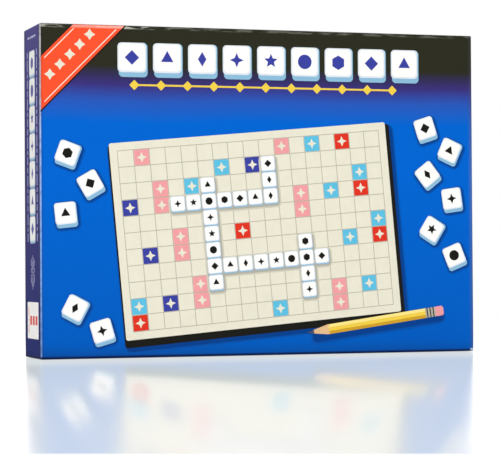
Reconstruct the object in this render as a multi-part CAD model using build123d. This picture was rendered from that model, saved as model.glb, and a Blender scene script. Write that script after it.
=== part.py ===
from build123d import *
import os

# Boxed word game, standing on its long edge as it is shown on a shelf.
# Millimetres. X runs along the long side, Y from the lid's face (-Y) to the base's back (+Y), Z is up.
# The origin is on the ground, under the middle of the closed box.

# Closed box, measured over the printed paper
box_width = 405.0
box_height = 290.0
box_depth = 65.0

# Greyboard walls, the paper glued round them and the fit of lid over base
greyboard = 1.8
wrap_paper = 0.3
fold_radius = 1.2
lid_clearance = 0.8
rim_setback = 1.0
rim_gap = 1.2

# Paper stays that tie the corners of the greyboard, sunk flush into it
stay_width = 18.0
stay_paper = 0.2
stay_setback = 5.0

# Formed plastic insert
insert_sheet = 0.9
insert_clearance = 0.5
insert_land = 6.0
board_margin = 31.5
well_radius = 5.0
well_radius_share = 0.4
close_radius_share = 2.5
notch_height = 60.0
notch_depth = 18.0
notch_reach = 4.0
grip_reach = 10.0
grip_height = 20.0
grip_drop = 6.0

# Gap between a loose piece and the seat that holds it
seat_gap = 0.3

# Board that folds in half with its printed faces inside
board_gap = 0.5
core_thick = 2.4
face_paper = 0.25
backing_paper = 0.3
fold_gap = 0.3
spine_cloth = 0.4
spine_lap = 14.0

# Folded leaflet with the rules, smaller than the folded board by this room on each side and above
leaflet_side_room = 60.0
leaflet_top_room = 16.8
leaflet_thick = 0.8

# Letter tiles, lying in two layers
tile_side = 19.0
tile_thick = 6.0
tile_gap = 0.3
tile_stack_gap = 0.1
tile_corner = 1.6
tile_edge = 0.6
tile_columns = 10
tile_layers = 2
tile_letters = (
    "aaaaaaaaaabbbccccdddddeeeeeeeeeeffggghhhiiiiiijjklllllmmm"
    "nnnnnooooooopppqrrrrrsssssstttttuuuuuvvwxyz"
)

# Racks, two columns of two: lip, seat for the tiles, sloping rest, ridge and hollow underside
rack_gap_x = 17.6
rack_gap_z = 15.2
rack_width = 30.0
rack_height = 20.0
rack_columns = 2
rack_rows = 2
lip_height = 6.0
lip_thick = 2.2
tray_height = 3.0
tile_play = 0.4
rest_run = 9.5
ridge_width = 2.6
foot_height = 2.0
rack_wall = 1.8
rack_roof = 5.4
rack_round = 0.6
rack_bays = 3

# Length by which every cutting shape runs past the face that it opens
overrun = 2.0

# Places worked out from the sizes above
mid_z = box_height / 2
face_y = -box_depth / 2
back_y = box_depth / 2
board_and_paper = greyboard + wrap_paper
lid_rim_y = back_y - rim_setback
base_rim_y = face_y + board_and_paper + rim_gap
base_width = box_width - 2 * (board_and_paper + lid_clearance)
base_height = box_height - 2 * (board_and_paper + lid_clearance)
miter_depth = fold_radius + board_and_paper

insert_width = base_width - 2 * (board_and_paper + insert_clearance)
insert_height = base_height - 2 * (board_and_paper + insert_clearance)
insert_left = -insert_width / 2
insert_low = mid_z - insert_height / 2
insert_front = base_rim_y
insert_back = back_y - board_and_paper

rack_pocket_length = (insert_width - (rack_columns + 1) * rack_gap_x) / rack_columns
rack_pocket_width = rack_width + 2 * seat_gap
rack_pocket_floor = insert_front + rack_height + 2 * seat_gap
rack_length = rack_pocket_length - 2 * seat_gap
rack_zone_height = rack_rows * rack_pocket_width + (rack_rows + 1) * rack_gap_z

leaf_thick = core_thick + face_paper + backing_paper
recess_width = insert_width - 2 * board_margin
recess_height = insert_height - insert_land - rack_zone_height
recess_depth = 2 * (leaf_thick + spine_cloth + seat_gap) + fold_gap + leaflet_thick
recess_low = insert_low + insert_land
recess_high = recess_low + recess_height
recess_floor = insert_front + recess_depth

board_width = recess_width - 2 * board_gap
leaf_height = recess_height - spine_cloth - 2 * board_gap
leaf_low = recess_low + board_gap
leaf_high = leaf_low + leaf_height
upper_back = insert_front + spine_cloth
upper_face = upper_back + leaf_thick
lower_face = upper_face + fold_gap
lower_back = lower_face + leaf_thick
leaflet_width = board_width - 2 * leaflet_side_room
leaflet_height = leaf_height - leaflet_top_room

tile_pitch = tile_side + tile_gap
tile_rows = -(-len(tile_letters) // (tile_columns * tile_layers))
tile_layer_pitch = tile_thick + tile_stack_gap
tile_well_width = tile_columns * tile_pitch + tile_gap
tile_well_height = tile_rows * tile_pitch + tile_gap
tile_well_depth = tile_layers * tile_layer_pitch + 2 * seat_gap
tile_well_left = -recess_width / 2 + insert_land
tile_well_low = (recess_low + recess_high - tile_well_height) / 2
spare_left = tile_well_left + tile_well_width + insert_land
spare_right = recess_width / 2 - insert_land


# Basic shapes

def block(x0, x1, y0, y1, z0, z1):
    """Rectangular block between two corners."""
    size = Box(x1 - x0, y1 - y0, z1 - z0, align=(Align.MIN, Align.MIN, Align.MIN))
    return Pos(x0, y0, z0) * size


def centred_block(width, height, y_a, y_b):
    """Block centred on the box, between two depths given in either order."""
    y0, y1 = sorted((y_a, y_b))
    return block(-width / 2, width / 2, y0, y1, mid_z - height / 2, mid_z + height / 2)


def folded_block(width, height, y_closed, y_open, radius):
    """Centred block, rounded round its closed face and along the four corners behind it."""
    solid = centred_block(width, height, y_closed, y_open)
    flat_faces = solid.faces().filter_by(Axis.Y)
    closed_face = min(flat_faces, key=lambda face: abs(face.center().Y - y_closed))
    return fillet(solid.edges().filter_by(Axis.Y) + closed_face.edges(), radius)


def prism(points, y0, y1):
    """Solid with an outline of (x, z) points, from depth y0 to depth y1."""
    plane = Plane((0, y1, 0), x_dir=(1, 0, 0), z_dir=(0, -1, 0))
    return extrude(plane * Polygon(*points, align=None), y1 - y0, dir=plane.z_dir)


def pocket(x0, x1, z0, z1, y0, y1, corner, growth):
    """Well with rounded corners, its outline and floor moved out by growth."""
    width = x1 - x0 + 2 * growth
    height = z1 - z0 + 2 * growth
    radius = min(corner, well_radius_share * min(x1 - x0, z1 - z0)) + growth
    plane = Plane(((x0 + x1) / 2, y1 + growth, (z0 + z1) / 2), x_dir=(1, 0, 0), z_dir=(0, -1, 0))
    return extrude(plane * RectangleRounded(width, height, radius), y1 + growth - y0)


# Lid and base

def tray_half(width, height, y_closed, y_rim):
    """One half of the box: its greyboard, its corner stays and its paper panels by side."""
    inward = 1 if y_rim > y_closed else -1
    past_rim = y_rim + inward * overrun
    board_width = width - 2 * wrap_paper
    board_height = height - 2 * wrap_paper
    board_closed = y_closed + inward * wrap_paper
    board_radius = fold_radius - wrap_paper

    paper = folded_block(width, height, y_closed, y_rim, fold_radius)
    paper -= folded_block(board_width, board_height, board_closed, past_rim, board_radius)

    shell = folded_block(board_width, board_height, board_closed, y_rim, board_radius)
    under_stays = folded_block(
        board_width - 2 * stay_paper,
        board_height - 2 * stay_paper,
        board_closed + inward * stay_paper,
        past_rim,
        board_radius - stay_paper,
    )
    sheath = shell - under_stays
    between_x = board_width - 2 * stay_width
    between_z = board_height - 2 * stay_width
    sheath -= centred_block(between_x, height, y_closed, past_rim)
    sheath -= centred_block(width, between_z, y_closed, past_rim)
    sheath -= centred_block(width, height, y_closed, y_closed + inward * stay_setback)
    stays = Compound(sheath.solids())

    shell -= centred_block(
        board_width - 2 * greyboard,
        board_height - 2 * greyboard,
        board_closed + inward * greyboard,
        past_rim,
    )
    shell -= sheath
    return shell, stays, paper_panels(paper, width, height, y_closed, past_rim, inward)


def paper_panels(paper, width, height, y_closed, past_rim, inward):
    """The paper, parted along the middle of each folded edge."""
    frustum = Wedge(
        width, miter_depth, height,
        miter_depth, miter_depth, width - miter_depth, height - miter_depth,
        align=(Align.CENTER, Align.MIN, Align.CENTER),
    )
    frustum = Pos(0, y_closed, mid_z) * Rot(0, 0, 0 if inward > 0 else 180) * frustum
    sides = paper - frustum
    right = width / 2
    low = mid_z - height / 2
    high = mid_z + height / 2
    corners = dict(
        lower_left=((-right, low), (miter_depth - right, low + miter_depth)),
        lower_right=((right, low), (right - miter_depth, low + miter_depth)),
        upper_right=((right, high), (right - miter_depth, high - miter_depth)),
        upper_left=((-right, high), (miter_depth - right, high - miter_depth)),
    )
    ends = dict(
        left=("upper_left", "lower_left"),
        right=("lower_right", "upper_right"),
        top=("upper_right", "upper_left"),
        bottom=("lower_left", "lower_right"),
    )
    y0, y1 = sorted((y_closed, past_rim))
    panels = {"face": paper & frustum}
    for side, (first, last) in ends.items():
        outline = [corners[first][0], corners[last][0], corners[last][1], corners[first][1]]
        panels[side] = sides & prism(outline, y0, y1)
    return panels


# Insert

def rack_corner(column, row):
    """Lower left corner (x, z) of the pocket for one rack."""
    x = insert_left + rack_gap_x + column * (rack_pocket_length + rack_gap_x)
    z = recess_high + rack_gap_z + row * (rack_pocket_width + rack_gap_z)
    return x, z


def well_places():
    """Wells by piece, each well as (x0, x1, z0, z1, mouth depth, floor depth, corner radius).

    A well that holds a square-cornered piece closely has corners small enough to clear it.
    """
    recess_mid = (recess_low + recess_high) / 2
    recess_right = recess_width / 2
    board_recess = [(
        -recess_right, recess_right, recess_low, recess_high,
        insert_front, recess_floor, close_radius_share * board_gap,
    )]
    tile_well = [(
        tile_well_left, tile_well_left + tile_well_width,
        tile_well_low, tile_well_low + tile_well_height,
        recess_floor, recess_floor + tile_well_depth, close_radius_share * tile_gap,
    )]
    spare_well = [(
        spare_left, spare_right,
        recess_low + insert_land, recess_high - insert_land,
        recess_floor, insert_back - insert_sheet, well_radius,
    )]
    notches = []
    notch_outer = insert_width / 2 - insert_land
    for side in (-1, 1):
        x0, x1 = sorted((side * notch_outer, side * (recess_right - notch_reach)))
        z0 = recess_mid - notch_height / 2
        notch_floor = insert_front + notch_depth
        notches.append((x0, x1, z0, z0 + notch_height, insert_front, notch_floor, well_radius))
    rack_wells = []
    for row in range(rack_rows):
        for column in range(rack_columns):
            x, z = rack_corner(column, row)
            rack_wells.append((
                x, x + rack_pocket_length, z, z + rack_pocket_width,
                insert_front, rack_pocket_floor, close_radius_share * seat_gap,
            ))
        for column in range(rack_columns - 1):
            x, z = rack_corner(column, row)
            grip_left = x + rack_pocket_length - grip_reach
            grip_low = z + (rack_pocket_width - grip_height) / 2
            rack_wells.append((
                grip_left, grip_left + rack_gap_x + 2 * grip_reach,
                grip_low, grip_low + grip_height,
                insert_front, rack_pocket_floor + grip_drop, well_radius,
            ))
    return dict(
        board_recess=board_recess, tile_well=tile_well, spare_well=spare_well,
        finger_notches=notches, rack_wells=rack_wells,
    )


def insert_pieces():
    """Formed sheet, parted at the mouths: front land with its skirt, then the wells pressed into it."""
    tray = centred_block(insert_width, insert_height, insert_front, insert_back)
    tray -= centred_block(
        insert_width - 2 * insert_sheet,
        insert_height - 2 * insert_sheet,
        insert_front + insert_sheet,
        insert_back + overrun,
    )
    pieces = {"tray": tray}
    hollows = []
    for piece, wells in well_places().items():
        outer = []
        for x0, x1, z0, z1, mouth, floor, corner in wells:
            outer.append(pocket(x0, x1, z0, z1, mouth, floor, corner, insert_sheet))
            hollows.append(pocket(x0, x1, z0, z1, mouth - overrun, floor, corner, 0))
        for earlier in pieces:
            pieces[earlier] -= outer
        pieces[piece] = outer[0] + outer[1:]
    return {piece: solid - hollows for piece, solid in pieces.items()}


# Folding board

def board_leaf(face, back):
    """Half of the board: core, printed face and backing paper turned up round three edges."""
    outward = 1 if back > face else -1
    right = board_width / 2
    inner_right = right - backing_paper
    inner_low = leaf_low + backing_paper
    core_face = face + outward * face_paper
    core_back = back - outward * backing_paper

    def layer(x, y_a, y_b, low, high):
        y0, y1 = sorted((y_a, y_b))
        return block(-x, x, y0, y1, low, high)

    backing = layer(right, face, back, leaf_low, leaf_high)
    backing -= layer(inner_right, face - outward * overrun, core_back, inner_low, leaf_high + overrun)
    core = layer(inner_right, core_face, core_back, inner_low, leaf_high)
    printed = layer(inner_right, face, core_face, inner_low, leaf_high)
    return core, printed, backing


def board_spine():
    """Cloth round the folded edge, lapped onto the back of both halves."""
    right = board_width / 2
    cloth = block(
        -right, right, upper_back - spine_cloth, lower_back + spine_cloth,
        leaf_high - spine_lap, leaf_high + spine_cloth,
    )
    return cloth - block(-right, right, upper_back, lower_back, leaf_high - spine_lap, leaf_high)


def rules_leaflet():
    """Folded leaflet, lying on the floor of the recess behind the board."""
    leaflet_back = recess_floor - seat_gap
    return block(
        -leaflet_width / 2, leaflet_width / 2,
        leaflet_back - leaflet_thick, leaflet_back,
        leaf_low, leaf_low + leaflet_height,
    )


# Racks

def rack(column, row):
    """Moulded rack lying on its base in its pocket, hollow underneath between ribs."""
    seat_end = lip_thick + tile_thick + tile_play
    ridge_start = seat_end + rest_run
    ridge_end = ridge_start + ridge_width
    outline = [
        (0, 0), (0, lip_height), (lip_thick, lip_height), (lip_thick, tray_height),
        (seat_end, tray_height), (ridge_start, rack_height), (ridge_end, rack_height),
        (rack_width, foot_height), (rack_width, 0),
    ]
    x, z = rack_corner(column, row)
    left = x + seat_gap
    base = Plane(
        (left, rack_pocket_floor - seat_gap, z + seat_gap), x_dir=(0, 0, 1), z_dir=(1, 0, 0)
    )
    bar = extrude(base * Polygon(*outline, align=None), rack_length, dir=base.z_dir)
    bar = fillet(bar.edges().filter_by(Axis.X), rack_round)

    roof = rack_height - rack_roof
    rest_slope = rest_run / (rack_height - tray_height)
    back_slope = (rack_width - ridge_end) / (rack_height - foot_height)
    hollow_left = seat_end + rack_wall
    hollow_right = rack_width - rack_wall
    hollow = [
        (hollow_left, -overrun), (hollow_left, tray_height),
        (hollow_left + rest_slope * (roof - tray_height), roof),
        (hollow_right - back_slope * (roof - foot_height), roof),
        (hollow_right, foot_height), (hollow_right, -overrun),
    ]
    bay_length = (rack_length - rack_wall) / rack_bays - rack_wall
    for bay in range(rack_bays):
        bay_start = rack_wall + bay * (bay_length + rack_wall)
        bay_plane = base.offset(bay_start)
        bar -= extrude(bay_plane * Polygon(*hollow, align=None), bay_length, dir=base.z_dir)
    return bar


# Tiles

def tile_blank():
    """One tile with rounded corners and an eased front edge."""
    blank = Box(tile_side, tile_thick, tile_side)
    blank = fillet(blank.edges().filter_by(Axis.Y), tile_corner)
    return fillet(blank.faces().sort_by(Axis.Y)[0].edges(), tile_edge)


def tile_centre(index):
    """Middle of a tile: stacks fill row by row from the top left, each from the front."""
    stack, layer = divmod(index, tile_layers)
    row, column = divmod(stack, tile_columns)
    x = tile_well_left + tile_gap + tile_side / 2 + column * tile_pitch
    y = recess_floor + seat_gap + tile_thick / 2 + layer * tile_layer_pitch
    z = tile_well_low + tile_well_height - tile_gap - tile_side / 2 - row * tile_pitch
    return x, y, z


def letter_tiles():
    """All tiles of each letter, in alphabetical order through the stacks."""
    blank = tile_blank()
    for letter in sorted(set(tile_letters)):
        places = [tile_centre(index) for index, held in enumerate(tile_letters) if held == letter]
        yield letter, Compound([Pos(*place) * blank for place in places])


# All nodes by name

nodes = {}
lid_shell, lid_stays, lid_panels = tray_half(box_width, box_height, face_y, lid_rim_y)
nodes["lid_greyboard"] = lid_shell
nodes["lid_corner_stays"] = lid_stays
nodes["lid_print_front"] = lid_panels.pop("face")
for side, panel in lid_panels.items():
    nodes["lid_print_" + side] = panel

base_shell, base_stays, base_panels = tray_half(base_width, base_height, back_y, base_rim_y)
nodes["base_greyboard"] = base_shell
nodes["base_corner_stays"] = base_stays
nodes["base_wrap_back"] = base_panels.pop("face")
for side, panel in base_panels.items():
    nodes["base_wrap_" + side] = panel

for piece_name, solid in insert_pieces().items():
    nodes["insert_" + piece_name] = solid

for half, leaf in dict(
    lower=board_leaf(lower_face, lower_back), upper=board_leaf(upper_face, upper_back)
).items():
    for layer_name, solid in zip(("core", "face", "backing"), leaf):
        nodes["board_" + half + "_" + layer_name] = solid
nodes["board_spine_cloth"] = board_spine()
nodes["rules_leaflet"] = rules_leaflet()

for rack_row in range(rack_rows):
    for rack_column in range(rack_columns):
        number = 1 + rack_row * rack_columns + rack_column
        nodes["rack_" + str(number)] = rack(rack_column, rack_row)

for letter, group in letter_tiles():
    nodes["tile_" + letter] = group

os.makedirs("parts", exist_ok=True)
for name, shape in nodes.items():
    export_step(shape, "parts/" + name + ".step")
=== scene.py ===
import math

import bmesh
import bpy
from mathutils import Matrix, Vector


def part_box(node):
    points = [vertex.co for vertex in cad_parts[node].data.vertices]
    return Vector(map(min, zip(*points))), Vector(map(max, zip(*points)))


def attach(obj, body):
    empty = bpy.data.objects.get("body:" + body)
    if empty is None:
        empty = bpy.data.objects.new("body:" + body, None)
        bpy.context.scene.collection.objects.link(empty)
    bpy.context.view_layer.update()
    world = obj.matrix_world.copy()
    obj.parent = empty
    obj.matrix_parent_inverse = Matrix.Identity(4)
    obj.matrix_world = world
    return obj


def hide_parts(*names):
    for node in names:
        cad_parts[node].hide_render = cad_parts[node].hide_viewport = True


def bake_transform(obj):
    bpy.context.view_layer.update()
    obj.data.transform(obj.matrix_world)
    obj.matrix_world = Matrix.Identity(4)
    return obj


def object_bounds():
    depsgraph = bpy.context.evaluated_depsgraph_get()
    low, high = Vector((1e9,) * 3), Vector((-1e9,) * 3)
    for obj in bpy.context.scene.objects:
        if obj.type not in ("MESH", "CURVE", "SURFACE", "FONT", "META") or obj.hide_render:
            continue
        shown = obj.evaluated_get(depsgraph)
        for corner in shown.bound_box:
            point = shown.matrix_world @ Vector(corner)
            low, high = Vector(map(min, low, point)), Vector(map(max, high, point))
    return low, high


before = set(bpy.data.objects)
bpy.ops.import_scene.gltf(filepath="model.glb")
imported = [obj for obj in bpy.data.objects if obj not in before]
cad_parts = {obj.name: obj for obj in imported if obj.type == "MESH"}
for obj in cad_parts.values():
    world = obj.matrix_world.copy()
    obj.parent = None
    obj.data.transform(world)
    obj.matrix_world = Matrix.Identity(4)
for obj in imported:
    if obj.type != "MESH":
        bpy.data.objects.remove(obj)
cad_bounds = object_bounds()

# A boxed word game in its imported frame: print, paper, plastic and card round the CAD solids.
# Metres in the frame. Print is laid out in millimetres on the face that carries it.
MM = 0.001
# Depth of ink in the paper, and thickness of one layer of it
SINK, INK = 0.04, 0.02
# Straight steps in a printed round corner
CURVE_STEPS = 5
# Thickness of the board under the paper
GREYBOARD = 1.8

box_low, box_high = cad_bounds
lid_low, lid_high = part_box("lid_greyboard")
base_low, base_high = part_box("base_wrap_back")
BOX_WIDTH = (box_high.x - box_low.x) / MM
BOX_HEIGHT = (box_high.z - box_low.z) / MM
LID_DEPTH = (lid_high.y - box_low.y) / MM
PAPER = (lid_low.x - box_low.x) / MM
WALL = PAPER + GREYBOARD

# Camera found from the box's corners in the photograph
CAMERA_PLACE = (-0.5881, -1.7921, 0.0796)
CAMERA_YAW, CAMERA_PITCH, CAMERA_ROLL = 18.094, -0.776, 0.366
CAMERA_LENS = 150.19


def tone(red, green, blue):
    """A screen colour, 0 to 255, as the linear colour that shaders take."""
    def linear(level):
        share = level / 255
        return share / 12.92 if share <= 0.04045 else ((share + 0.055) / 1.055) ** 2.4
    return linear(red), linear(green), linear(blue), 1.0


BLACK, CREAM, PURE_WHITE = tone(24, 24, 20), tone(229, 227, 207), tone(255, 255, 255)

# Inks of one plain colour, in screen levels
INK_LEVELS = {
    "white": (250, 250, 246), "cream": (229, 227, 207), "black": (24, 24, 20), "red": (220, 52, 34),
    "pink": (236, 158, 160), "cyan": (92, 190, 222), "indigo": (58, 66, 158),
    "yellow": (238, 206, 74), "ochre": (204, 160, 40), "pale_yellow": (250, 230, 138),
    "tile_side": (138, 186, 214), "tile_rim": (222, 230, 236), "rule": (176, 172, 156),
    "pale": (176, 180, 220), "mid_blue": (40, 104, 190), "wood": (226, 188, 140),
    "lead": (78, 80, 90), "blue_shade": (0, 80, 168), "deep_blue": (0, 62, 138),
    "sheet_shade": (206, 204, 186), "deep_sheet": (176, 174, 160),
}


class Nodes:
    """Short calls for the shader nodes of one tree."""

    def __init__(self, tree):
        self.tree = tree

    def put(self, value, socket):
        if isinstance(value, bpy.types.NodeSocket):
            self.tree.links.new(value, socket)
        else:
            socket.default_value = value

    def add(self, kind, *values, **settings):
        """A new node: values go to its inputs in order, settings to properties or inputs by name."""
        node = self.tree.nodes.new(kind)
        for value, socket in zip(values, node.inputs):
            self.put(value, socket)
        for name, value in settings.items():
            if hasattr(node, name):
                setattr(node, name, value)
            else:
                self.put(value, node.inputs[name])
        return node

    def calc(self, operation, *values):
        return self.add("ShaderNodeMath", *values, operation=operation).outputs[0]

    def product(self, *shares):
        whole = shares[0]
        for share in shares[1:]:
            whole = self.calc("MULTIPLY", whole, share)
        return whole

    def between(self, share, low, high):
        """Low where the share is 0, high where it is 1."""
        return self.calc("MULTIPLY_ADD", share, high - low, low)

    def rise(self, value, low, high):
        """0 below low, 1 above high and a smooth step between them. Low may be the greater one."""
        node = self.add("ShaderNodeMapRange", value, low, high, interpolation_type="SMOOTHSTEP")
        return node.outputs["Result"]


class Look(Nodes):
    """A material under construction."""

    def __init__(self, name, roughness, specular):
        self.material = bpy.data.materials.new(name)
        self.material.use_nodes = True
        super().__init__(self.material.node_tree)
        self.surface = self.tree.nodes["Principled BSDF"]
        self.put(roughness, self.surface.inputs["Roughness"])
        self.put(specular, self.surface.inputs["Specular IOR Level"])
        spots = self.add("ShaderNodeTexCoord").outputs
        self.place, self.normal = spots["Object"], spots["Normal"]
        self.x, self.y, self.z = self.add("ShaderNodeSeparateXYZ", self.place).outputs

    def beside(self, value, edge, none, full):
        """A smooth step beside an edge: 0 at none millimetres past it, 1 at full."""
        return self.rise(value, edge + none * MM, edge + full * MM)

    def wave(self, value, pitch):
        return self.calc("SINE", self.calc("MULTIPLY", value, pitch))

    def noise(self, scale, detail=3.0, stretch=(1.0, 1.0, 1.0)):
        mapped = self.add("ShaderNodeMapping", self.place, Scale=stretch)
        node = self.add("ShaderNodeTexNoise", Vector=mapped.outputs[0], Scale=scale, Detail=detail)
        return node.outputs["Fac"]

    def blend(self, share, first, second):
        node = self.add("ShaderNodeMix", share, data_type="RGBA")
        for value, socket in zip((first, second), node.inputs[6:8]):
            self.put(value, socket)
        return node.outputs[2]

    def shade(self, colour, noise, depth):
        """The colour, lighter and darker by up to depth as the noise goes."""
        value = self.between(noise, 1 - depth, 1 + depth)
        return self.add("ShaderNodeHueSaturation", Value=value, Color=colour).outputs[0]

    def ramp(self, share, stops):
        """Colours by the share, from stops of (place, screen levels)."""
        node = self.add("ShaderNodeValToRGB", Fac=share)
        elements = node.color_ramp.elements
        while len(elements) < len(stops):
            elements.new(1.0)
        for element, (place, levels) in zip(elements, stops):
            element.position = place
            element.color = tone(*levels)
        return node.outputs["Color"]

    def height(self):
        """Share of the box's height, from its foot up."""
        return self.calc("DIVIDE", self.z, box_high.z)

    def bump(self, height, mm, strength):
        node = self.add("ShaderNodeBump", Height=height, Distance=mm * MM, Strength=strength)
        self.put(node.outputs[0], self.surface.inputs["Normal"])

    def done(self, colour, roughness=None):
        self.put(colour, self.surface.inputs["Base Color"])
        if roughness is not None:
            self.put(roughness, self.surface.inputs["Roughness"])
        return self.material


# Paper of the box. Pairs are the millimetres past an edge at which a look begins and is full.

COVER_TONES = [
    (0.0, (13, 71, 147)), (0.014, (4, 83, 170)), (0.045, (0, 91, 188)), (0.55, (0, 99, 205)),
    (0.71, (0, 99, 205)), (0.775, (40, 86, 182)), (0.822, (58, 50, 122)), (0.85, (50, 46, 86)),
    (0.878, (43, 44, 31)), (1.0, (43, 44, 31)),
]
SIDE_TONES = [(0.0, (2, 28, 106)), (0.35, (50, 47, 115)), (1.0, (80, 74, 140))]
BASE_TONES = [(0.0, (4, 60, 140)), (0.6, (6, 70, 158)), (0.82, (34, 44, 112)), (0.9, (34, 36, 40))]
BASE_SCUFF = tone(180, 196, 220)
RIBBON_RED = tone(253, 82, 46)

# Glints under the top edge of the lid's face, on paper and ribbon
COVER_GLINT, RIBBON_GLINT = tone(214, 216, 204), tone(255, 196, 178)
GLINT_LOW, GLINT_HIGH = (-3.8, -2.5), (-0.5, -1.3)
# Width of the painted highlight on the near fold of the lid's face and side
FACE_FOLD_HIGHLIGHT, SIDE_FOLD_HIGHLIGHT = 1.3, 3.4
FOLD_HIGHLIGHT_TONES = [
    (0.0, (120, 154, 220)), (0.3, (136, 178, 242)), (0.7, (176, 200, 246)), (0.78, (190, 190, 196)),
]
# Line of painted shade beside the fold's painted highlight, past its width
FOLD_SHADE_FROM, FOLD_SHADE_FULL = 1.8, 0.2
# Painted shade along the bottom fold of the lid, and a painted glint at its far corner
LOW_FOLD, LOW_FOLD_SHADE = (2.9, 1.3), tone(8, 18, 60)
CORNER_GLINT_SIDE, CORNER_GLINT_TOP, CORNER_GLINT_FOOT, CORNER_GLINT_PALE = (-4.2, -2.6), (3.4, 2.2), (0.2, 1.0), tone(190, 214, 236)
# Painted shade on the fold at the far side of the lid's face
FAR_FOLD = (-5.2, 0.0)
FAR_FOLD_SHADE_TONES = [
    (0.0, (52, 84, 132)), (0.55, (84, 112, 160)), (0.82, (70, 70, 116)), (0.9, (58, 58, 58)),
]
# Painted shade in strips on the lid's side, at its near fold and its rim
SIDE_SHADE_FOLD, SIDE_SHADE_RIM = (10, 3), (-10, -2)
# Largest part of the surface's direction on a rounded fold and on a flat panel
FOLD_LEAN, FLAT_LEAN = 0.86, 0.985


def fold_share(look):
    """1 on the rounded folds, 0 on the flat of a panel."""
    parts = look.add("ShaderNodeSeparateXYZ", look.normal).outputs
    x, y, z = (look.calc("ABSOLUTE", part) for part in parts)
    largest = look.calc("MAXIMUM", look.calc("MAXIMUM", x, y), z)
    return look.calc("SUBTRACT", 1.0, look.rise(largest, FOLD_LEAN, FLAT_LEAN))


def edge_glints(look, colour, glint, least):
    """Streaky glints under the lid's top edge, stronger to the left. Least is their floor."""
    low, high = (look.beside(look.z, box_high.z, *pair) for pair in (GLINT_LOW, GLINT_HIGH))
    streaks = look.rise(look.noise(190.0, detail=5.0, stretch=(0.32, 1.0, 2.2)), 0.46, 0.6)
    side = look.between(look.rise(look.x, box_low.x * 0.3, box_low.x * 0.75), 0.13, 0.83)
    share = look.calc("MAXIMUM", look.product(streaks, side), least)
    return look.blend(look.product(low, high, share), colour, glint)


def fold_highlight_and_shade(look, colour, across, edge, width):
    """A painted highlight at a fold, in patches, with a line of painted shade beside it. Across runs in from
    the edge.
    """
    # Painted shade in a line beside the highlight
    dim = look.beside(across, edge, width + FOLD_SHADE_FROM, width + FOLD_SHADE_FULL)
    colour = look.blend(look.product(dim, 0.3), colour, BLACK)
    # Painted highlight, pale grey at the top and pale blue lower down
    pale = look.ramp(look.height(), FOLD_HIGHLIGHT_TONES)
    # Patches that break up the painted highlight
    scuffs_and_glint_patches = look.between(look.rise(look.noise(260.0, detail=4.0), 0.35, 0.6), 0.6, 0.95)
    line = look.beside(across, edge, width, width / 2)
    return look.blend(look.product(line, scuffs_and_glint_patches), colour, pale)


def low_fold(look, colour):
    """The lid's bottom fold: a dark line of painted shade, with a painted glint at the far corner."""
    # Painted shade along the bottom fold
    low = look.beside(look.z, box_low.z, *LOW_FOLD)
    colour = look.blend(look.product(low, 0.9), colour, LOW_FOLD_SHADE)
    # Painted glint at the far corner
    side = look.beside(look.x, box_high.x, *CORNER_GLINT_SIDE)
    top, foot = (look.beside(look.z, box_low.z, *pair) for pair in (CORNER_GLINT_TOP, CORNER_GLINT_FOOT))
    return look.blend(look.product(side, top, foot, 0.7), colour, CORNER_GLINT_PALE)


def far_fold_shade(look, colour):
    """Painted shade on the fold at the far side of the lid's face, greyer towards its edge."""
    share = look.product(look.beside(look.x, box_high.x, *FAR_FOLD), 0.75)
    return look.blend(share, colour, look.ramp(look.height(), FAR_FOLD_SHADE_TONES))


def cover_paper():
    look = Look("cover_paper", roughness=0.38, specular=0.035)
    drift = look.between(look.noise(7.0), -0.015, 0.015)
    colour = look.ramp(look.calc("ADD", look.height(), drift), COVER_TONES)
    colour = look.shade(colour, look.noise(900.0, detail=2.0), depth=0.05)
    look.bump(look.noise(30.0, detail=2.0), mm=0.25, strength=0.25)
    colour = edge_glints(look, colour, COVER_GLINT, least=0.0)
    colour = fold_highlight_and_shade(look, colour, look.x, box_low.x, FACE_FOLD_HIGHLIGHT)
    return look.done(low_fold(look, far_fold_shade(look, colour)))


def side_paper():
    look = Look("side_paper", roughness=0.36, specular=0.004)
    colour = look.shade(look.ramp(look.height(), SIDE_TONES), look.noise(60.0, detail=4.0), depth=0.1)
    # Painted shade beside the near fold and along the rim
    near_fold = look.beside(look.y, box_low.y, *SIDE_SHADE_FOLD)
    near_rim = look.beside(look.y, lid_high.y, *SIDE_SHADE_RIM)
    dim = look.product(look.calc("MAXIMUM", near_fold, near_rim), 0.4)
    look.bump(look.noise(45.0, detail=2.0), mm=0.25, strength=0.3)
    colour = fold_highlight_and_shade(look, look.blend(dim, colour, BLACK), look.y, box_low.y, SIDE_FOLD_HIGHLIGHT)
    return look.done(low_fold(look, colour))


def base_paper():
    look = Look("base_paper", roughness=0.4, specular=0.06)
    colour = look.shade(look.ramp(look.height(), BASE_TONES), look.noise(40.0, detail=4.0), depth=0.12)
    scuffs_and_glint_patches = look.product(fold_share(look), look.rise(look.noise(300.0, detail=4.0), 0.5, 0.7), 0.5)
    look.bump(look.noise(50.0, detail=2.0), mm=0.2, strength=0.3)
    return look.done(look.blend(scuffs_and_glint_patches, colour, BASE_SCUFF))


def print_ink(name, colour):
    look = Look(name + "_ink", roughness=0.34, specular=0.06)
    return look.done(look.shade(colour, look.noise(140.0), depth=0.05))


def ribbon_ink():
    look = Look("ribbon_ink", roughness=0.36, specular=0.06)
    colour = look.shade(RIBBON_RED, look.noise(60.0), depth=0.05)
    colour = edge_glints(look, colour, RIBBON_GLINT, least=0.5)
    return look.done(fold_highlight_and_shade(look, colour, look.x, box_low.x, FACE_FOLD_HIGHLIGHT))


INKS = {name: print_ink(name, tone(*levels)) for name, levels in INK_LEVELS.items()}
INKS["ribbon"] = ribbon_ink()


# Materials of the inside

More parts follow.
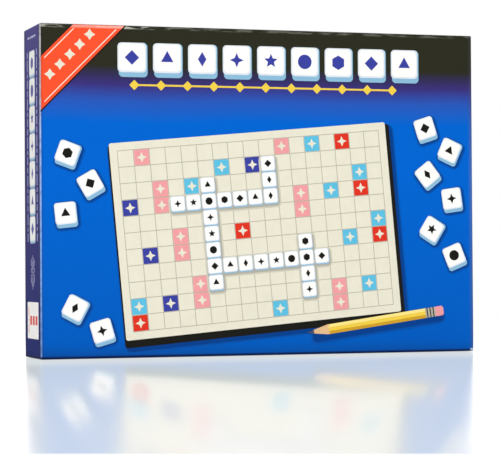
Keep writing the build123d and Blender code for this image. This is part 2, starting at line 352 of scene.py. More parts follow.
def greyboard():
    look = Look("greyboard", roughness=0.85, specular=0.1)
    colour = look.shade(tone(158, 150, 136), look.noise(90.0, detail=4.0), depth=0.08)
    flecks = look.rise(look.noise(1500.0, detail=2.0, stretch=(1.0, 1.0, 0.4)), 0.6, 0.72)
    look.bump(look.noise(1200.0), mm=0.05, strength=0.4)
    return look.done(look.blend(look.product(flecks, 0.5), colour, tone(98, 92, 84)))


def stay_paper():
    look = Look("stay_paper", roughness=0.7, specular=0.15)
    fibres = look.noise(500.0, detail=4.0, stretch=(0.3, 1.0, 1.0))
    return look.done(look.shade(tone(186, 152, 108), fibres, depth=0.12))


def formed_plastic():
    look = Look("formed_plastic", roughness=0.38, specular=0.4)
    colour = look.shade(tone(26, 46, 112), look.noise(25.0), depth=0.08)
    # Lighter on the rounded folds
    edge = look.product(fold_share(look), 0.25)
    look.bump(look.noise(700.0, detail=2.0), mm=0.02, strength=0.3)
    lighter_folds = look.blend(edge, colour, tone(86, 110, 176))
    return look.done(lighter_folds, roughness=look.between(look.noise(120.0), 0.3, 0.46))


def board_paper():
    look = Look("board_paper", roughness=0.45, specular=0.2)
    colour = look.shade(CREAM, look.noise(30.0, detail=4.0), depth=0.03)
    linen = look.product(look.wave(look.x, 7000.0), look.wave(look.z, 7000.0))
    look.bump(linen, mm=0.02, strength=0.3)
    return look.done(colour)


def board_backing():
    look = Look("board_backing", roughness=0.55, specular=0.3)
    grain = look.add("ShaderNodeTexVoronoi", look.place, Scale=1100.0)
    colour = look.shade(tone(38, 38, 40), look.noise(200.0, detail=4.0), depth=0.12)
    look.bump(grain.outputs["Distance"], mm=0.06, strength=0.6)
    return look.done(colour)


def book_cloth():
    look = Look("book_cloth", roughness=0.8, specular=0.15)
    along = look.calc("ADD", look.z, look.y)
    weave = look.product(look.wave(look.x, 9000.0), look.wave(along, 9000.0))
    look.bump(weave, mm=0.05, strength=0.6)
    return look.done(look.shade(tone(26, 26, 30), look.between(weave, 0.5, 1.0), depth=0.2))


def leaflet_paper():
    look = Look("leaflet_paper", roughness=0.6, specular=0.2)
    pages = look.between(look.wave(look.y, 26000.0), 0.5, 1.0)
    colour = look.shade(tone(240, 239, 232), look.noise(50.0, detail=4.0), depth=0.03)
    return look.done(look.shade(colour, pages, depth=0.04))


def rack_plastic():
    look = Look("rack_plastic", roughness=0.36, specular=0.4)
    colour = look.shade(tone(36, 36, 38), look.noise(60.0), depth=0.12)
    look.bump(look.noise(1500.0, detail=2.0), mm=0.01, strength=0.4)
    return look.done(colour, roughness=look.between(look.noise(200.0), 0.28, 0.48))


def tile_plastic():
    look = Look("tile_plastic", roughness=0.32, specular=0.4)
    colour = look.shade(tone(240, 236, 222), look.noise(70.0), depth=0.03)
    return look.done(colour, roughness=look.between(look.noise(300.0), 0.26, 0.42))


# Flat shapes, as outlines in millimetres that run anticlockwise

def oblong(u0, v0, u1, v1):
    return [(u0, v0), (u1, v0), (u1, v1), (u0, v1)]


def bar(start, end, line, half, upright=False):
    """Bar from start to end, half its width each way from a line that runs right or up."""
    low, high = line - half, line + half
    return oblong(low, start, high, end) if upright else oblong(start, low, end, high)


def turned(points, centre, degrees):
    turn = math.radians(degrees)
    c, s = math.cos(turn), math.sin(turn)
    return [(centre[0] + c * u - s * v, centre[1] + s * u + c * v) for u, v in points]


def moved(place, shift):
    return place[0] + shift[0], place[1] + shift[1]


def rounded(width, height, radius, centre=(0, 0), degrees=0.0):
    """Oblong with round corners about its centre."""
    points = []
    for corner in range(4):
        u = (width / 2 - radius) * (1 if corner in (0, 3) else -1)
        v = (height / 2 - radius) * (1 if corner in (0, 1) else -1)
        for step in range(CURVE_STEPS + 1):
            angle = math.radians(90) * (corner + step / CURVE_STEPS)
            points.append((u + radius * math.cos(angle), v + radius * math.sin(angle)))
    return turned(points, centre, degrees)


def wheel(count, inner, radius, centre, degrees):
    """Points by turns at the radius and at a share of it: a star, a disc or a polygon."""
    points = []
    for step in range(2 * count):
        reach = radius * (inner if step % 2 else 1.0)
        angle = math.radians(90) + math.pi * step / count
        points.append((reach * math.cos(angle), reach * math.sin(angle)))
    return turned(points, centre, degrees)


def ring(here, there, count):
    """Four-sided faces between two rings of points, which start at here and there."""
    steps = [(step, (step + 1) % count) for step in range(count)]
    return [[here + step, here + after, there + after, there + step] for step, after in steps]


class Face:
    """A flat face: millimetre places (u right, v up, w out of it) as points in the frame."""

    def __init__(self, origin, right, up, body, slot):
        self.origin, self.right, self.up = Vector(origin), Vector(right), Vector(up)
        self.out = self.right.cross(self.up)
        self.body, self.slot = body, slot

    def point(self, u, v, w):
        return self.origin + (self.right * u + self.up * v + self.out * w) * MM

    def ink(self, name, outlines, level, ink):
        """One piece of ink: every outline as a thin plate, set into the face and level layers proud."""
        points, faces = [], []
        for outline in outlines:
            count, first = len(outline), len(points)
            points += [self.point(u, v, -SINK) for u, v in outline]
            points += [self.point(u, v, level * INK) for u, v in outline]
            faces.append([first + count + step for step in range(count)])
            faces.append([first + count - 1 - step for step in range(count)])
            faces += ring(first, first + count, count)
        piece(name, points, faces, INKS[ink], self.body)


def linked(made):
    bpy.context.scene.collection.objects.link(made)
    return made


def mesh_object(name, points, faces, material):
    mesh = bpy.data.meshes.new(name)
    mesh.from_pydata([tuple(point) for point in points], [], faces)
    mesh.materials.append(material)
    return linked(bpy.data.objects.new(name, mesh))


def piece(name, points, faces, material, body):
    """A new mesh in the frame, which rides on a body if one is named."""
    made = mesh_object(name, points, faces, material)
    if body:
        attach(made, body)
    return made


# Print on the box

# Layers of ink, from the paper up
SHADE_LAYER, EDGE_LAYER, SHEET_LAYER, RULE_LAYER, CELL_LAYER = 1, 3, 4, 5, 7
PLAYED_LAYER, PENCIL_LAYER = 9, 18
# The two steps of a soft shadow, by their spread, and their inks on the ground and on the sheet
SHADE_STEPS = (("soft", 5.0), ("deep", 2.2))
ON_BLUE, ON_SHEET = ("blue_shade", "deep_blue"), ("sheet_shade", "deep_sheet")
# Shaded side that a printed tile shows, as a share of its size
DEEP_SIDE, THIN_SIDE = 0.16, 0.08
# Marks on printed tiles, as (points, inner radius as a share of the outer)
MARKS = ((2, 1.0), (12, 1.0), (4, 0.42), (3, 0.5), (3, 1.0), (5, 0.46), (2, 0.6))
# Star on the coloured cells of the sheet and the board
CELL_STAR = (4, 0.42)
# Lengths of the strokes that stand for small print, and the gap between them
STROKES, STROKE_GAP = (7.0, 3.6, 10.0, 5.2), 2.0

SHEET_CENTRE, SHEET_TURN = (197.0, 112.0), 5.0
SHEET_COLUMNS, SHEET_ROWS, SHEET_CELL = 17, 11, 14.4
# Colours of the sheet's cells by turns, for three steps of its slanting pattern
SHEET_COLOURS = {0: ("red", "pink"), 5: ("pink", "cyan"), 9: ("cyan", "indigo")}
# Runs of tiles on the sheet, as (column, row, step right, step up, count)
LEVEL_RUNS = ((3, 7, 1, 0, 7), (5, 3, 1, 0, 8))
UPRIGHT_RUNS = ((5, 8, 0, -1, 7), (11, 4, 0, -1, 4), (9, 7, 0, 1, 3))
# Tiles scattered on the ground, as (u, v, turn)
LOOSE_TILES = (
    (358, 204, 18), (382, 184, -24), (360, 162, 38), (384, 140, 8), (364, 112, -32), (386, 88, 22),
    (24, 178, -20), (44, 152, 30), (22, 126, 6), (30, 44, -28), (54, 24, 16),
)


def printed_tiles(face, name, places, layer, mark_ink, side_share=DEEP_SIDE):
    """Printed tiles: shaded side, eased rim, top and mark. Each place is (u, v, turn, size)."""
    corner_share, top_share, lift_share, mark_share, shift_share, mark_step = 0.14, 0.9, 0.01, 0.25, 0.25, 3
    sides, rims, tops, marks = [], [], [], []
    for step, (u, v, turn, size) in enumerate(places):
        drop, corner, top = side_share * size, corner_share * size, top_share * size
        sides.append(rounded(size, size + drop, corner, (u + shift_share * drop, v - drop / 2), turn))
        rims.append(rounded(size, size, corner, (u, v), turn))
        tops.append(rounded(top, top, corner, (u, v + lift_share * size), turn))
        marks.append(wheel(*MARKS[step * mark_step % len(MARKS)], mark_share * size, (u, v), turn))
    face.ink(name + "_sides", sides, layer, "tile_side")
    face.ink(name + "_rims", rims, layer + 1, "tile_rim")
    face.ink(name + "_tops", tops, layer + 2, "white")
    face.ink(name + "_marks", marks, layer + 3, mark_ink)


def strokes(start, end, line, width, upright=False):
    """Strokes of lengths that take turns, along a line where small print would run."""
    shapes, place, step = [], start, 0
    while place < end:
        far = min(place + STROKES[step % len(STROKES)], end)
        shapes.append(bar(place, far, line, width / 2, upright))
        place, step = far + STROKE_GAP, step + 1
    return shapes


def soft_shade(face, name, groups, layer, shades):
    """Soft shadow in two steps. Groups hold shapes (width, height, radius, centre, turn) that stay apart."""
    for (kind, spread), shade in zip(SHADE_STEPS, shades):
        for shapes in groups:
            outlines = [rounded(width + spread, height + spread, radius + spread / 2, centre, turn)
                        for width, height, radius, centre, turn in shapes]
            face.ink("%s_%s_%d" % (name, kind, layer), outlines, layer, shade)
            layer += 1


def cover_ribbon(face):
    """Corner ribbon with pinstripes and a row of stars along its middle."""
    near, far, trim, top = 30.0, 76.0, 0.6, BOX_HEIGHT
    shade_near, shade_far = 0.8, 1.8
    stripe_out, stripe_in, stripe_trim = 3.5, 4.7, 4.0
    count, star, size = 5, (4, 0.55), 5.0

    def band(first, last, end):
        upper, lower = top - first + end, top - last + end
        return [(end, upper), (end, lower), (last - end, top - end), (first - end, top - end)]

    face.ink("cover_ribbon_shadow", [band(near - shade_near, far + shade_far, trim)], 1, "black")
    face.ink("cover_ribbon", [band(near, far, trim)], 2, "ribbon")
    stripes = [band(near + stripe_out, near + stripe_in, stripe_trim),
               band(far - stripe_in, far - stripe_out, stripe_trim)]
    face.ink("cover_ribbon_stripes", stripes, 3, "cream")
    middle, stars = (near + far) / 2, []
    for step in range(count):
        along = (step + 1) / (count + 1)
        stars.append(wheel(*star, size, (middle * along, top - middle * (1 - along)), 0))
    face.ink("cover_ribbon_diamonds", stars, 3, "cream")


def cover_heading(face):
    """Row of tiles with marks, over a ruled line with diamonds."""
    left, pitch, count, v, size = 82.0, 32.0, 9, 262.0, 26.0
    places = [(left + step * pitch, v, 0.0, size) for step in range(count)]
    printed_tiles(face, "cover_heading", places, 1, "indigo")
    left, right, v, half = 84.0, 326.0, 238.0, 0.8
    count, size, corner = 11, 6.4, 0.4
    pitch = (right - left) / (count - 1)
    face.ink("cover_rule", [bar(left, right, v, half)], 1, "yellow")
    diamonds = [rounded(size, size, corner, (left + step * pitch, v), 45) for step in range(count)]
    face.ink("cover_rule_diamonds", diamonds, 2, "yellow")


def sheet_cell(column, row):
    """Middle of one cell of the tilted sheet."""
    u = (column - (SHEET_COLUMNS - 1) / 2) * SHEET_CELL
    v = (row - (SHEET_ROWS - 1) / 2) * SHEET_CELL
    return turned([(u, v)], SHEET_CENTRE, SHEET_TURN)[0]


def run_cells(column, row, right, up, count):
    return [(column + right * step, row + up * step) for step in range(count)]


PLAYED = {cell for run in LEVEL_RUNS + UPRIGHT_RUNS for cell in run_cells(*run)}


def cover_sheet(face):
    """Tilted puzzle sheet on a dark board, with ruled lines and coloured cells."""
    margin, corner, half = 7.0, 2, 0.3
    edge_rim, edge_corner, edge_shift = 5, 3, (1.5, -4.0)
    shade_corner, shade_shift = 4, (2.0, -2.5)
    cell_gap, cell_corner, mark_share = 0.8, 0.5, 0.34
    slant_right, slant_up, slant_repeat = 2, 5, 13
    width, height = SHEET_COLUMNS * SHEET_CELL, SHEET_ROWS * SHEET_CELL
    outer = width + 2 * margin, height + 2 * margin
    board = outer[0] + edge_rim, outer[1] + edge_rim
    board_centre = moved(SHEET_CENTRE, edge_shift)
    shade = (*board, shade_corner, moved(board_centre, shade_shift), SHEET_TURN)
    soft_shade(face, "cover_sheet", [[shade]], SHADE_LAYER, ON_BLUE)
    edge = rounded(*board, edge_corner, board_centre, SHEET_TURN)
    face.ink("cover_sheet_edge", [edge], EDGE_LAYER, "black")
    face.ink("cover_sheet", [rounded(*outer, corner, SHEET_CENTRE, SHEET_TURN)], SHEET_LAYER, "cream")

    def ruled(count, end, upright):
        places = [(step - count / 2) * SHEET_CELL for step in range(count + 1)]
        return [turned(bar(-end, end, place, half, upright), SHEET_CENTRE, SHEET_TURN) for place in places]

    face.ink("cover_sheet_columns", ruled(SHEET_COLUMNS, height / 2, True), RULE_LAYER, "rule")
    face.ink("cover_sheet_rows", ruled(SHEET_ROWS, width / 2, False), RULE_LAYER + 1, "rule")
    cells, marks = {"red": [], "pink": [], "cyan": [], "indigo": []}, []
    shaded = {(column + right, row - down) for column, row in PLAYED for right in (0, 1) for down in (0, 1)}
    side = SHEET_CELL - cell_gap
    for column in range(SHEET_COLUMNS):
        for row in range(SHEET_ROWS):
            pair = SHEET_COLOURS.get((slant_right * column + slant_up * row) % slant_repeat)
            if pair and (column, row) not in shaded:
                centre = sheet_cell(column, row)
                cells[pair[(column + row) % 2]].append(rounded(side, side, cell_corner, centre, SHEET_TURN))
                marks.append(wheel(*CELL_STAR, mark_share * side, centre, SHEET_TURN))
    for name, squares in cells.items():
        face.ink("cover_sheet_" + name, squares, CELL_LAYER, name)
    face.ink("cover_sheet_marks", marks, CELL_LAYER + 1, "cream")


def played_tiles(face):
    """Crossing runs of tiles on the sheet."""
    size, shade_corner, shade_shift = 13.2, 2.0, (0.8, -1.6)
    groups = []
    for runs in (LEVEL_RUNS, UPRIGHT_RUNS):
        shadows = []
        for column, row, right, up, count in runs:
            past = count - 1
            middle = sheet_cell(column + right * past / 2, row + up * past / 2)
            long = SHEET_CELL * past
            shadows.append((size + long * abs(right), size + long * abs(up), shade_corner,
                            moved(middle, shade_shift), SHEET_TURN))
        groups.append(shadows)
    soft_shade(face, "cover_played", groups, PLAYED_LAYER, ON_SHEET)
    played = sorted(PLAYED, key=lambda spot: (-spot[1], spot[0]))
    places = [(*sheet_cell(*spot), SHEET_TURN, size) for spot in played]
    printed_tiles(face, "cover_played", places, PLAYED_LAYER + 4, "black", THIN_SIDE)


def loose_tiles(face):
    """Tiles scattered on the ground, with shadows in two groups so that none cross in one piece."""
    size, long, corner, shift = 19, 20.9, 3, (1.5, -2.5)
    shadows = [(size, long, corner, moved((u, v), shift), turn) for u, v, turn in LOOSE_TILES]
    soft_shade(face, "cover_loose", [shadows[0::2], shadows[1::2]], SHADE_LAYER, ON_BLUE)
    places = [(u, v, turn, size) for u, v, turn in LOOSE_TILES]
    printed_tiles(face, "cover_loose", places, SHADE_LAYER + 4, "black")


def cover_pencil(face):
    """Sharpened pencil with three lit faces, lying over the sheet's lower corner."""
    start, turn = (262.0, 22.0), 8.0
    length, half, flat = 96.0, 4.4, 1.6
    # Sharpened end: length and half width of the wood, half width of the lead, the tip and the wavy cut
    cut, neck, lead, tip, tooth = 14.0, 1.4, 1.5, 20.0, 2.6
    band, groove, grooves = 10.0, 1.0, (1.5, 4.5, 7.5)
    rubber_length, rubber_corner, rubber_reach = 9, 2.4, 3.5
    shade_longer, shade_corner, shade_shift = 30, 3, (2, -4)

    def show(name, outlines, layer, ink):
        lying = [turned(outline, start, turn) for outline in outlines]
        face.ink("cover_pencil_" + name, lying, PENCIL_LAYER + layer, ink)

    shade_centre = turned([(length / 2, 0)], moved(start, shade_shift), turn)[0]
    shade = (length + shade_longer, 2 * half, shade_corner, shade_centre, turn)
    soft_shade(face, "cover_pencil", [[shade]], PENCIL_LAYER - 3, ON_BLUE)
    show("body", [oblong(0, -half, length, half)], 0, "yellow")
    show("lit", [oblong(0, flat, length, half)], 1, "pale_yellow")
    show("dim", [oblong(0, -half, length, -flat)], 1, "ochre")
    middle = (half + flat) / 2
    wood = [(0, half), (-cut, neck), (-cut, -neck), (0, -half), (tooth, -middle), (0, -flat), (tooth, 0),
            (0, flat), (tooth, middle)]
    show("wood", [wood], 2, "wood")
    rubber = rounded(rubber_length, 2 * half, rubber_corner, (length + band + rubber_reach, 0))
    show("rubber", [rubber], -1, "pink")
    show("band", [oblong(length, -half, length + band, half)], 0, "rule")
    cuts = [oblong(length + place, -half, length + place + groove, half) for place in grooves]
    show("grooves", cuts, 1, "black")
    show("lead", [[(1 - cut, lead), (-tip, 0), (1 - cut, -lead)]], 3, "lead")


def front_print():
    """The lid's face: ribbon, row of tiles, ruled line and the picture of a puzzle."""
    face = Face(box_low, (1, 0, 0), (0, 0, 1), "lid", "cover_print")
    for draw in (cover_ribbon, cover_heading, cover_sheet, played_tiles, loose_tiles, cover_pencil):
        draw(face)


def end_print(name, face):
    """A short side: a column of tiles between strokes, small print below it and a label at the foot."""
    middle = LID_DEPTH / 2
    low, high, count, size, past, beside, widths = 113.0, 258.0, 7, 22.0, 11, 19.0, (1.8, 2.2)
    places = [(middle, low + step * (high - low) / (count - 1), 0.0, size) for step in range(count)]
    printed_tiles(face, "side_tiles_" + name, places, 1, "indigo", THIN_SIDE)
    small = strokes(low - past, high + past, middle - beside, widths[0], True)
    small += strokes(low - past, high + past, middle + beside, widths[1], True)
    half, v, width = 17, 281.0, 2.0
    small += strokes(middle - half, middle + half, v, width)
    foot, foot_step, head, head_step, pitch, width = 60, 3, 90, 2, 3.2, 1.2
    for line in range(-2, 3):
        start, end = foot + foot_step * abs(line), head - head_step * abs(line)
        small += strokes(start, end, middle + pitch * line, width, True)
    face.ink("side_strokes_" + name, small, 1, "pale")
    label, corner, v = (44, 32), 1.0, 33
    face.ink("side_label_" + name, [rounded(*label, corner, (middle, v))], 1, "white")
    size, corner, pitch, shift = 8, 0.8, 11, 3
    marks = [rounded(size, size, corner, (middle + shift + pitch * step, v)) for step in (-1, 0, 1)]
    half, shift, width = 11, 17, 2.0
    marks += strokes(v - half, v + half, middle - shift, width, True)
    face.ink("side_label_marks_" + name, marks, 2, "red")


def side_prints():
    """Tiles between rows of small strokes on three sides of the lid."""
    left = Face((box_low.x, lid_high.y, box_low.z), (0, -1, 0), (0, 0, 1), "lid", "side_print")
    right = Face((box_high.x, box_low.y, box_low.z), (0, 1, 0), (0, 0, 1), "lid", "side_print")
    end_print("left", left)
    end_print("right", right)
    top = Face((box_low.x, box_low.y, box_high.z), (1, 0, 0), (0, 1, 0), "lid", "side_print")
    centre, middle = BOX_WIDTH / 2, LID_DEPTH / 2
    pitch, each_way, size, half, beside, width = 30, 4, 26.0, 133, 21, 2.0
    places = [(centre + pitch * step, middle, 0.0, size) for step in range(-each_way, each_way + 1)]
    printed_tiles(top, "side_tiles_top", places, 1, "indigo", THIN_SIDE)
    small = strokes(centre - half, centre + half, middle - beside, width)
    small += strokes(centre - half, centre + half, middle + beside, width)
    top.ink("side_strokes_top", small, 1, "pale")


def base_print():
    """The back of the base: a lattice, a pale panel with plain bars for text, and a group of tiles."""
    face = Face((base_high.x, base_high.y, base_low.z), (-1, 0, 0), (0, 0, 1), "base", "base_paper")
    width, height = (base_high.x - base_low.x) / MM, (base_high.z - base_low.z) / MM
    columns, rows, inset, half = 14, 10, 12, 0.4
    lines = [bar(inset, height - inset, step * width / columns, half, True) for step in range(1, columns)]
    face.ink("base_lattice_upright", lines, 1, "mid_blue")
    lines = [bar(inset, width - inset, step * height / rows, half) for step in range(1, rows)]
    face.ink("base_lattice_level", lines, 2, "mid_blue")
    panel, corner, centre = (150, 96), 4, (0.3 * width, 0.36 * height)
    face.ink("base_panel", [rounded(*panel, corner, centre)], 3, "white")
    count, pitch, half, long, shorter, bars = 9, 9, 1.4, 126, 30, []
    left = centre[0] - long / 2
    for step in range(count):
        v = centre[1] + pitch * ((count - 1) / 2 - step)
        bars.append(bar(left, left + long - shorter * (step % 4 == 3), v, half))
    face.ink("base_panel_lines", bars, 4, "rule")
    centre, pitch, size = (0.72 * width, 0.55 * height), 24, 21.0
    places = [(*moved(centre, (pitch * i, pitch * j)), 0.0, size)
              for i in (-2, -1, 0, 1, 2) for j in (-1, 0, 1) if (i + j) % 2 == 0 or j == 0]
    printed_tiles(face, "base_tiles", places, 3, "indigo")


# Turned-in paper at the rims

def turn_in(name, low, high, rim, inward, body, material):
    """Paper folded over a rim and glued to the inside of the wall, as one ring."""
    width, lap, film = 15.0, 0.2, 0.1
    profile = [
        (PAPER, -SINK), (PAPER, film), (WALL + lap, film), (WALL + lap, -width),
        (WALL - SINK, -width), (WALL - SINK, -SINK),
    ]
    if inward < 0:
        profile.reverse()
    points, faces = [], []
    for side_x, side_z in ((-1, -1), (1, -1), (1, 1), (-1, 1)):
        for inset, past in profile:
            x = (low.x if side_x < 0 else high.x) - side_x * inset * MM
            z = (low.z if side_z < 0 else high.z) - side_z * inset * MM
            points.append((x, rim + inward * past * MM, z))
    count = len(profile)
    for corner in range(4):
        faces += ring(corner * count, (corner + 1) % 4 * count, count)
    piece(name, points, faces, material, body)


# Folding board

BOARD_CELLS, BOARD_CELL = 15, 20.0
backing_low, backing_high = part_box("board_lower_backing")
BOARD_WIDTH = (backing_high.x - backing_low.x) / MM


def board_colour(column, row):
    """Ink of one square of the board, or None for a plain one."""
    middle = BOARD_CELLS // 2
    across, along = abs(column - middle), abs(row - middle)
    ring = across + along
    if (across, along) in ((5, 0), (0, 5), (7, 4), (4, 7)):
        return "red"
    if ring == 3:
        return "pink"
    if ring == 7 and across % 2 == 1:
        return "cyan"
    if ring == 11 and across % 2 == 0 or ring == 0:
        return "indigo"
    return None


def board_print():
    """Ruled squares with coloured ones among them, cut at the fold."""
    trim, least, inset, rule, border_out, border_in, mark = 1.5, 0.1, 0.2, 0.3, 6, 4.5, 6.0
    margin = (BOARD_WIDTH - BOARD_CELLS * BOARD_CELL) / 2
    far = BOARD_WIDTH - margin
    lower_low, lower_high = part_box("board_lower_face")
    upper_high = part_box("board_upper_face")[1]
    half = BOARD_WIDTH / 2
    lower = Face((backing_low.x, lower_low.y, lower_high.z - half * MM), (1, 0, 0), (0, 0, 1),
                 "board_lower_half", "board_print")
    upper = Face((backing_low.x, upper_high.y, upper_high.z + half * MM), (1, 0, 0), (0, 0, -1),
                 "board_upper_half", "board_print")
    for name, face, low, high in (("board_lower_", lower, trim, half),
                                  ("board_upper_", upper, half, BOARD_WIDTH - trim)):
        def clipped(u0, v0, u1, v1):
            v0, v1 = max(v0, low), min(v1, high)
            return [oblong(u0, v0, u1, v1)] if v1 - v0 > least else []

        squares, marks = {"red": [], "pink": [], "cyan": [], "indigo": []}, []
        for column in range(BOARD_CELLS):
            for row in range(BOARD_CELLS):
                colour = board_colour(column, row)
                if colour:
                    u, v = margin + column * BOARD_CELL, margin + row * BOARD_CELL
                    size = BOARD_CELL - inset
                    squares[colour] += clipped(u + inset, v + inset, u + size, v + size)
                    if low < v and v + BOARD_CELL < high:
                        centre = u + BOARD_CELL / 2, v + BOARD_CELL / 2
                        marks.append(wheel(*CELL_STAR, mark, centre, 0))
        for colour, shapes in squares.items():
            face.ink(name + colour, shapes, 1, colour)
        face.ink(name + "marks", marks, 2, "cream")
        uprights, levels = [], []
        for step in range(BOARD_CELLS + 1):
            place = margin + step * BOARD_CELL
            uprights += clipped(place - rule, margin, place + rule, far)
            levels += clipped(margin, place - rule, far, place + rule)
        face.ink(name + "uprights", uprights, 2, "rule")
        face.ink(name + "levels", levels, 3, "rule")
        first, last = margin - border_out, far + border_out
        before, after = margin - border_in, far + border_in
        border = clipped(first, first, before, last) + clipped(after, first, last, last)
        face.ink(name + "border", border, 2, "red")
        ends = clipped(first, first, last, before) + clipped(first, after, last, last)
        face.ink(name + "border_end", ends, 3, "red")


def spine_cloth(material):
    """Cloth strip round the folded edge of the board."""
    low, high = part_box("board_spine_cloth")
    cloth = high.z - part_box("board_lower_core")[1].z
    top = high.z - cloth
    halfway, steps = (low.z + top) / 2, 16

    def path(inset, bow):
        near, far = high.y - inset, low.y + inset
        fold = []
        for step in range(steps + 1):
            share = step / steps
            fold.append((near + (far - near) * share, top - inset / 2 + bow * math.sin(math.pi * share)))
        return [(near, low.z), (near, halfway), *fold, (far, halfway), (far, low.z)]

    outer, inner = path(0, cloth), path(cloth, cloth / 2)
    outline = outer + inner[::-1]
    count = len(outline)
    points = [(x, y, z) for x in (low.x, high.x) for y, z in outline]
    faces = ring(0, count, count)
    for step in range(len(outer) - 1):
        quad = [step, step + 1, count - 2 - step, count - 1 - step]
        faces.append(quad[::-1])
        faces.append([count + corner for corner in quad])
    made = piece("spine_cloth", points, faces, material, None)
    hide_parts("board_spine_cloth")
    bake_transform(made)


# Leaflet and tiles

def leaflet_print():
    """A heading bar, plain bars for lines of text and a small grid."""
    low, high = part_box("rules_leaflet")
    face = Face((low.x, low.y, low.z), (1, 0, 0), (0, 0, 1), "leaflet", "leaflet_paper")
    width, height = (high.x - low.x) / MM, (high.z - low.z) / MM
    margin, heading, gutter = 12, 12, 6
    middle, right, head = width / 2, width - margin, height - margin
    face.ink("leaflet_heading", [oblong(margin, head - heading, right, head)], 1, "mid_blue")
    left_count, right_count, first, pitch, half, left_shorter, right_shorter = 13, 5, 34, 8, 1, 26, 20
    lines = []
    for step in range(left_count):
        v = height - first - pitch * step
        end = middle - gutter - left_shorter * (step % 5 == 4)
        lines.append(bar(margin, end, v, half))
        if step < right_count:
            end = right - right_shorter * (step == right_count - 1)
            lines.append(bar(middle + gutter, end, v, half))
    face.ink("leaflet_lines", lines, 1, "rule")
    left, foot, pitch, size = middle + 10, 14, 14, 13
    places = [(left + pitch * i, foot + pitch * j) for i in range(5) for j in range(3) if (i + 2 * j) % 3]
    face.ink("leaflet_grid", [oblong(u, v, u + size, v + size) for u, v in places], 1, "pink")


def solids_of(node):
    """Boxes (low, high) of the separate solids in a CAD node, in millimetres."""
    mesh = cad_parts[node].data
    spots = [tuple(round(value / MM, 3) for value in vertex.co) for vertex in mesh.vertices]
    root = {spot: spot for spot in spots}

    def find(spot):
        while root[spot] != spot:
            root[spot] = root[root[spot]]
            spot = root[spot]
        return spot

    for edge in mesh.edges:
        first, second = (find(spots[index]) for index in edge.vertices)
        root[first] = second
    groups = {}
    for spot in root:
        groups.setdefault(find(spot), []).append(spot)
    return sorted((tuple(map(min, *group)), tuple(map(max, *group))) for group in groups.values())


def glyph(letter, size, curve_steps):
    """Points and faces of one capital, centred, in millimetres, with its depth along w."""
    text = bpy.data.curves.new("glyph", "FONT")
    text.body = letter.upper()
    text.size = size
    text.extrude = INK
    text.resolution_u = curve_steps
    made = linked(bpy.data.objects.new("glyph", text))
    mesh = bpy.data.meshes.new_from_object(made.evaluated_get(bpy.context.evaluated_depsgraph_get()))
    shape = bmesh.new()
    shape.from_mesh(mesh)
    bmesh.ops.remove_doubles(shape, verts=shape.verts, dist=INK / 10)
    # The front and back are filled again, so that no triangle of them is empty
    flat = [face for face in shape.faces if len({round(vertex.co.z, 3) for vertex in face.verts}) == 1]
    level = set(flat)
    inner = [edge for edge in shape.edges if level.issuperset(edge.link_faces)]
    bmesh.ops.beautify_fill(shape, faces=flat, edges=inner)
    shape.verts.index_update()
    spots = [tuple(vertex.co) for vertex in shape.verts]
    middle = [(min(values) + max(values)) / 2 for values in zip(*spots)]
    points = [(u - middle[0], v - middle[1], w) for u, v, w in spots]
    faces = [[vertex.index for vertex in polygon.verts] for polygon in shape.faces]
    shape.free()
    bpy.data.objects.remove(made)
    bpy.data.curves.remove(text)
    bpy.data.meshes.remove(mesh)
    return points, faces


def tile_letters():
    """A printed capital on the front of every tile."""
    points, faces = [], []
    for node in sorted(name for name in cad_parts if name.startswith("tile_")):
        shape, polygons = glyph(node[-1], size=13.0, curve_steps=3)
        for low, high in solids_of(node):
            middle = Vector(((low[0] + high[0]) / 2, low[1], (low[2] + high[2]) / 2)) * MM
            face = Face(middle, (1, 0, 0), (0, 0, 1), "letter_tiles", "tile_plastic")
            first = len(points)
            points += [face.point(*spot) for spot in shape]
            faces += [[first + index for index in polygon] for polygon in polygons]
    piece("tile_letters", points, faces, INKS["black"], "letter_tiles")


# Looks of the CAD nodes, by the first of these parts that a node's name has

NODE_LOOKS = (
    ("print_front", cover_paper), ("lid_print", side_paper), ("base_wrap", base_paper),
    ("corner_stays", stay_paper), ("insert", formed_plastic), ("_face", board_paper),
    ("_backing", board_backing), ("cloth", book_cloth), ("rack", rack_plastic), ("tile", tile_plastic),
    ("leaflet", leaflet_paper), ("", greyboard),
)


def dress():
    """Gives every CAD node its material. Returns the materials by the part of the name."""
    looks = {part: make() for part, make in NODE_LOOKS}
    for name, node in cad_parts.items():
        node.data.materials.clear()
        node.data.materials.append(next(look for part, look in looks.items() if part in name))
    return looks


# Studio

# The floor fades into the white between two distances from its middle
FLOOR_MIDDLE = (-0.15, -0.55, 0.0)
FLOOR_NEAR, FLOOR_FAR = 0.72, 1.0
FLOOR_GAP = 0.3 * MM
# Share of plain white in what the camera sees of the floor
FLOOR_LIFT = 0.7
# Mirror image: its share, and the weaker share close to the box with the distance over which it grows
MIRROR_SHARE, MIRROR_NEAR_SHARE, MIRROR_NEAR = 0.4, 0.55, 0.17
# Light of the floor and tint of its gloss where it mirrors, for a cooler blue
MIRROR_GLOW, MIRROR_TINT = (0.88, 1.0, 0.99, 1.0), (1.13, 1.0, 1.0, 1.0)
MIRROR_ROUGHNESS, MIRROR_BRUSHED = 0.13, 0.75
# Where the mirror image ends: distance, softness and direction
MIRROR_END, MIRROR_SOFT, MIRROR_TURN = -0.996, 0.006, CAMERA_YAW + 4.08
# Light of the surroundings on the object, and as they are seen
AIR_LIGHT, AIR_SEEN = 0.55, 1.0
# Soft lamps, as (name, watts, place)
LAMPS = (("key_lamp", 38.0, (-0.45, -1.45, 2.1)), ("fill_lamp", 12.0, (0.6, 1.7, 0.7)))
LAMP_SIZE, LAMP_AIM = 1.8, Vector((0, 0, 0.1))


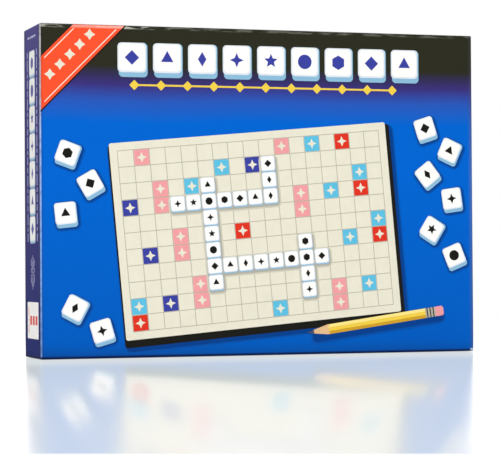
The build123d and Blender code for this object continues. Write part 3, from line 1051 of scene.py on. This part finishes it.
def seen_share(nodes):
    """1 for what is seen, straight or by way of gloss or glass, and 0 for the light that falls."""
    rays = nodes.add("ShaderNodeLightPath").outputs
    indirect = nodes.calc("MAXIMUM", rays["Is Glossy Ray"], rays["Is Transmission Ray"])
    return nodes.calc("MAXIMUM", rays["Is Camera Ray"], indirect)


def floor_look():
    """Matt white with a faint mirror image, fading into the white surroundings."""
    look = Look("studio_floor", roughness=0.5, specular=0.0)

    def mixed(share, first, second):
        return look.add("ShaderNodeMixShader", share, first.outputs[0], second.outputs[0])

    turn, away = math.radians(MIRROR_TURN), math.radians(CAMERA_YAW)
    ahead = look.calc("ADD", look.product(look.x, math.sin(turn)), look.product(look.y, math.cos(turn)))
    clear_of_box = look.rise(look.y, box_low.y, box_low.y - MIRROR_NEAR)
    mirrored = look.product(
        look.rise(ahead, MIRROR_END - MIRROR_SOFT, MIRROR_END + MIRROR_SOFT),
        look.between(clear_of_box, MIRROR_NEAR_SHARE, 1.0),
    )
    spread = look.shade(tone(246, 246, 246), look.noise(3.0), depth=0.01)
    matt = look.add("ShaderNodeBsdfDiffuse", Color=spread)
    glow = look.add("ShaderNodeEmission", Color=look.blend(mirrored, PURE_WHITE, MIRROR_GLOW))
    lifted = mixed(look.product(seen_share(look), FLOOR_LIFT), matt, glow)
    brushed = look.add("ShaderNodeCombineXYZ", X=math.sin(away), Y=math.cos(away))
    mirror = look.add("ShaderNodeBsdfGlossy", Color=MIRROR_TINT, Roughness=MIRROR_ROUGHNESS,
                      Anisotropy=MIRROR_BRUSHED, Tangent=brushed.outputs[0])
    surface = mixed(look.product(mirrored, MIRROR_SHARE), lifted, mirror)
    distance = look.add("ShaderNodeVectorMath", look.place, FLOOR_MIDDLE, operation="DISTANCE")
    fade = look.rise(distance.outputs["Value"], FLOOR_NEAR, FLOOR_FAR)
    whole = mixed(fade, surface, look.add("ShaderNodeBsdfTransparent"))
    look.put(whole.outputs[0], look.tree.nodes["Material Output"].inputs["Surface"])
    look.tree.nodes.remove(look.surface)
    return look.material


def studio():
    """White floor, even white surroundings and two large soft lamps."""
    corners = [(FLOOR_MIDDLE[0] + x * FLOOR_FAR, FLOOR_MIDDLE[1] + y * FLOOR_FAR, box_low.z - FLOOR_GAP)
               for x, y in ((-1, -1), (1, -1), (1, 1), (-1, 1))]
    floor = mesh_object("studio_floor", corners, [[0, 1, 2, 3]], floor_look())

    world = bpy.data.worlds.new("studio_air")
    bpy.context.scene.world = world
    world.use_nodes = True
    air = Nodes(world.node_tree)
    background = air.tree.nodes["Background"].inputs
    air.put(PURE_WHITE, background["Color"])
    air.put(air.between(seen_share(air), AIR_LIGHT, AIR_SEEN), background["Strength"])

    for name, energy, place in LAMPS:
        light = bpy.data.lights.new(name, "AREA")
        light.size = LAMP_SIZE
        light.energy = energy
        lamp = linked(bpy.data.objects.new(name, light))
        lamp.location = place
        aim = LAMP_AIM - lamp.location
        lamp.rotation_euler = aim.to_track_quat("-Z", "Y").to_euler()
        lamp.visible_camera = False


def camera():
    """The view of the photograph."""
    lens = bpy.data.cameras.new("camera")
    lens.sensor_fit = "HORIZONTAL"
    lens.lens = CAMERA_LENS
    view = linked(bpy.data.objects.new("camera", lens))
    place = Matrix.Translation(CAMERA_PLACE)
    for angle, axis in ((-CAMERA_YAW, "Z"), (90 - CAMERA_PITCH, "X"), (-CAMERA_ROLL, "Z")):
        place = place @ Matrix.Rotation(math.radians(angle), 4, axis)
    view.matrix_world = place
    bpy.context.scene.camera = view
    bpy.context.scene.view_settings.view_transform = "Standard"


looks = dress()
front_print()
side_prints()
base_print()
turn_in("lid_turn_in", box_low, box_high, lid_high.y, 1, "lid", looks["lid_print"])
base_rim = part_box("base_greyboard")[0].y
turn_in("base_turn_in", base_low, base_high, base_rim, -1, "base", looks["base_wrap"])
board_print()
spine_cloth(looks["cloth"])
leaflet_print()
tile_letters()
studio()
camera()
